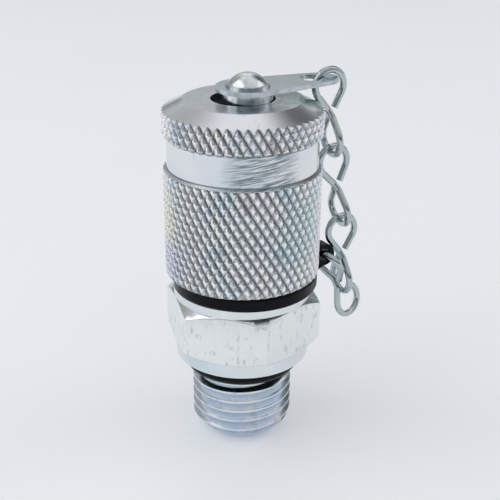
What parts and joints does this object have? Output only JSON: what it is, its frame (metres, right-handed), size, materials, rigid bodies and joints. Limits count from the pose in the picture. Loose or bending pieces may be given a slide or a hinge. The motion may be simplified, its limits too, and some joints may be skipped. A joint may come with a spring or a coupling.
{
  "type": "test point coupling",
  "caption": "Screw-in hydraulic test point coupling with hexagon, seal ring, spring check valve and a knurled screw cap held by a short wire chain.",
  "frame": {"origin": "on the coupling's axis, in the plane of the stud's end face", "axes": "+Z along the coupling's axis, from the stud to the cap; +X to the right of the hexagon as the cap's strap points right and back"},
  "size_m": [0.0282, 0.021, 0.0517],
  "materials": {
    "body_zinc": "satin zinc plating",
    "cap_zinc": "bright zinc plating, knurled",
    "bright_zinc": "bright zinc plating",
    "chain_wire": "bright drawn wire",
    "black_rubber": "matt rubber",
    "black_plastic": "moulded, glossy",
    "plain_steel": "turned",
    "spring_steel": "drawn wire"
  },
  "bodies": {
    "body": {"coupling_body": "body_zinc", "stud_o_ring": "black_rubber", "seal_bush": "body_zinc", "probe_seal": "black_rubber", "valve_seat": "plain_steel", "valve_spring": "spring_steel"},
    "cap_carrier": {"cap_seal": "black_rubber"},
    "cap": {"screw_cap": "cap_zinc"},
    "strap": {"chain_strap": "bright_zinc", "cap_rivet": "bright_zinc", "head_washer": "bright_zinc", "rivet_bush": "bright_zinc", "tail_washer": "bright_zinc"},
    "ring": {"neck_ring": "black_plastic"},
    "valve": {"valve_poppet": "plain_steel", "poppet_seal": "black_rubber"},
    "link_1": {"chain_link_1": "chain_wire"},
    "link_2": {"chain_link_2": "chain_wire"},
    "link_3": {"chain_link_3": "chain_wire"},
    "link_4": {"chain_link_4": "chain_wire"}
  },
  "joints": [
    {"name": "cap_lift", "type": "slide", "parent": "body", "child": "cap_carrier", "axis": [0, 0, 1], "range_m": [0, 0.01]},
    {"name": "cap_turn", "type": "hinge", "parent": "cap_carrier", "child": "cap", "pos_m": [0, 0, 0.0395], "axis": [0, 0, 1], "range_deg": [0, 1800]},
    {"name": "strap_swivel", "type": "hinge", "parent": "cap_carrier", "child": "strap", "pos_m": [0, 0, 0.0495], "axis": [0, 0, 1], "continuous": true},
    {"name": "ring_turn", "type": "hinge", "parent": "body", "child": "ring", "pos_m": [0, 0, 0.0235], "axis": [0, 0, 1], "continuous": true},
    {"name": "valve_travel", "type": "slide", "parent": "body", "child": "valve", "axis": [0, 0, -1], "range_m": [0, 0.0025], "stiffness_N_per_m": 800, "springref_m": -0.002, "deforming": ["valve_spring"]},
    {"name": "link_1_swing", "type": "hinge", "parent": "strap", "child": "link_1", "pos_m": [0.01138, 0.00479, 0.04869], "axis": [0.454, -0.891, 0], "range_deg": [0, 14.9]},
    {"name": "link_2_swing", "type": "hinge", "parent": "link_1", "child": "link_2", "pos_m": [0.01218, 0.0052, 0.03918], "axis": [0.454, -0.891, 0], "range_deg": [-9.05, 0]},
    {"name": "link_3_swing", "type": "hinge", "parent": "link_2", "child": "link_3", "pos_m": [0.014, 0.00613, 0.02871], "axis": [0.454, -0.891, 0], "range_deg": [0, 13.5]},
    {"name": "link_4_swing", "type": "hinge", "parent": "ring", "child": "link_4", "pos_m": [0.01135, 0.00446, 0.02464], "axis": [0.454, -0.891, 0], "range_deg": [0, 71.98]}
  ],
  "couplings": [
    {"joint": "cap_lift", "follows": "cap_turn", "m_per_rad": 0.00031831},
    {"joint": "ring_turn", "follows": "strap_swivel", "ratio": 1},
    {"joint": "link_1_swing", "follows": "cap_turn", "ratio": 0.0082778},
    {"joint": "link_2_swing", "follows": "cap_turn", "ratio": -0.0050278},
    {"joint": "link_3_swing", "follows": "cap_turn", "ratio": 0.0075},
    {"joint": "link_4_swing", "follows": "cap_turn", "ratio": 0.039989}
  ]
}
